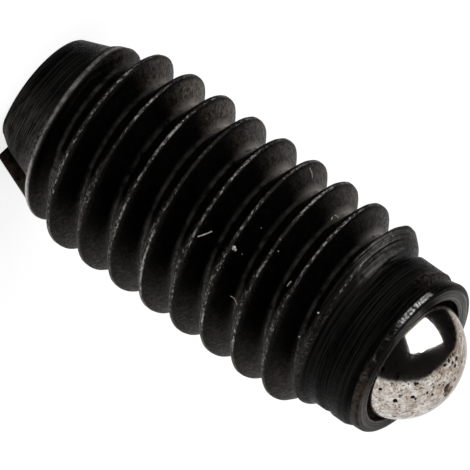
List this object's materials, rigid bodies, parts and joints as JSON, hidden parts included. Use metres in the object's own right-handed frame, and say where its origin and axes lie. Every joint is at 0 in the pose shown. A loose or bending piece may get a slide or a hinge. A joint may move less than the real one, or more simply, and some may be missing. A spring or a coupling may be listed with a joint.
{
  "type": "spring plunger",
  "caption": "Slotted threaded spring plunger with a captive steel ball that presses into its nose against an internal spring.",
  "frame": {"origin": "centre of the slotted end face, on which the plunger stands", "axes": "+Z along the plunger's axis from the slotted end towards the ball; the screwdriver slot runs across at -28.5 degrees from +X"},
  "size_m": [0.0038, 0.0038, 0.0093],
  "materials": {
    "black_steel": "turned steel with a glossy black oxide finish",
    "spring_steel": "drawn spring wire, bright",
    "ball_steel": "polished bearing steel with small pits and dirt"
  },
  "bodies": {
    "housing": {"body": "black_steel", "spring": "spring_steel"},
    "ball": {"ball": "ball_steel"}
  },
  "joints": [
    {"name": "ball_press", "type": "slide", "parent": "housing", "child": "ball", "axis": [0, 0, -1], "range_m": [0, 0.0008], "stiffness_N_per_m": 9400, "deforming": ["spring"]}
  ]
}
